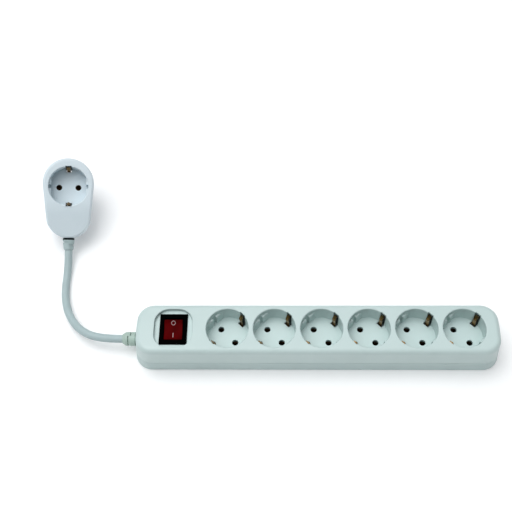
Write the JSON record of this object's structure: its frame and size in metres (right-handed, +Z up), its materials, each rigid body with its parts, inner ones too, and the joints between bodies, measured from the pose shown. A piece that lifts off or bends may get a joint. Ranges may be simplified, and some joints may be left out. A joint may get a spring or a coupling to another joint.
{
  "type": "power strip",
  "caption": "Switched mains power strip with earthed round sockets, a short lead and a pass-through plug; a red rocker switches all outlets.",
  "frame": {"origin": "centre of the strip's footprint, on the plane it stands on", "axes": "+X along the strip away from its switch and cord, +Z up out of the sockets, +Y to the side where the plug lies"},
  "size_m": [0.4447, 0.2114, 0.0689],
  "materials": {
    "cover_plastic": "satin moulded, pale grey-white with a green tint",
    "base_plastic": "satin moulded",
    "plug_plastic": "satin moulded, pale bluish white",
    "spring_brass": "rolled strip",
    "steel": "zinc plated",
    "pin_nickel": "nickel plated brass",
    "switch_black": "gloss moulded",
    "rocker_red": "translucent red, gloss",
    "inner_plastic": "matte",
    "lamp_glass": "clear",
    "cord_grey": "soft PVC, satin",
    "wire_brown": "PVC",
    "wire_blue": "PVC",
    "wire_green": "PVC, yellow stripe",
    "wire_set": "PVC, one of each colour"
  },
  "bodies": {
    "strip": {"top_cover": "cover_plastic", "socket_insert_1": "cover_plastic", "socket_insert_2": "cover_plastic", "socket_insert_3": "cover_plastic", "socket_insert_4": "cover_plastic", "socket_insert_5": "cover_plastic", "socket_insert_6": "cover_plastic", "base_shell": "base_plastic", "plug_front_shell": "plug_plastic", "plug_rear_shell": "plug_plastic", "earth_bracket_1": "spring_brass", "earth_bracket_2": "spring_brass", "earth_bracket_3": "spring_brass", "earth_bracket_4": "spring_brass", "earth_bracket_5": "spring_brass", "earth_bracket_6": "spring_brass", "earth_rail": "spring_brass", "live_rail": "spring_brass", "neutral_rail": "spring_brass", "switch_terminals": "spring_brass", "plug_contacts": "spring_brass", "plug_earth_bracket": "spring_brass", "housing_screws": "steel", "clamp_screws": "steel", "earth_rivets": "steel", "plug_screws": "steel", "plug_clamp_screws": "steel", "plug_pins": "pin_nickel", "switch_housing": "switch_black", "plug_grommet": "switch_black", "cord_clamp": "inner_plastic", "plug_clamp": "inner_plastic", "neon_lamp": "lamp_glass", "cord": "cord_grey", "cord_gland": "cord_grey", "plug_sleeve": "cord_grey", "live_wires": "wire_brown", "neutral_wires": "wire_blue", "earth_wire": "wire_green", "plug_wires": "wire_set"},
    "rocker": {"rocker": "rocker_red", "switch_plungers": "inner_plastic", "plunger_springs": "steel"},
    "levers": {"contact_levers": "spring_brass"}
  },
  "joints": [
    {"name": "rocker_turn", "type": "hinge", "parent": "strip", "child": "rocker", "pos_m": [-0.1321, 0, 0.0325], "axis": [1, 0, 0], "range_deg": [-20, 0]},
    {"name": "lever_rock", "type": "hinge", "parent": "strip", "child": "levers", "pos_m": [-0.1321, 0, 0.0213], "axis": [1, 0, 0], "range_deg": [0, 16]}
  ],
  "couplings": [
    {"joint": "lever_rock", "follows": "rocker_turn", "ratio": -0.8}
  ]
}
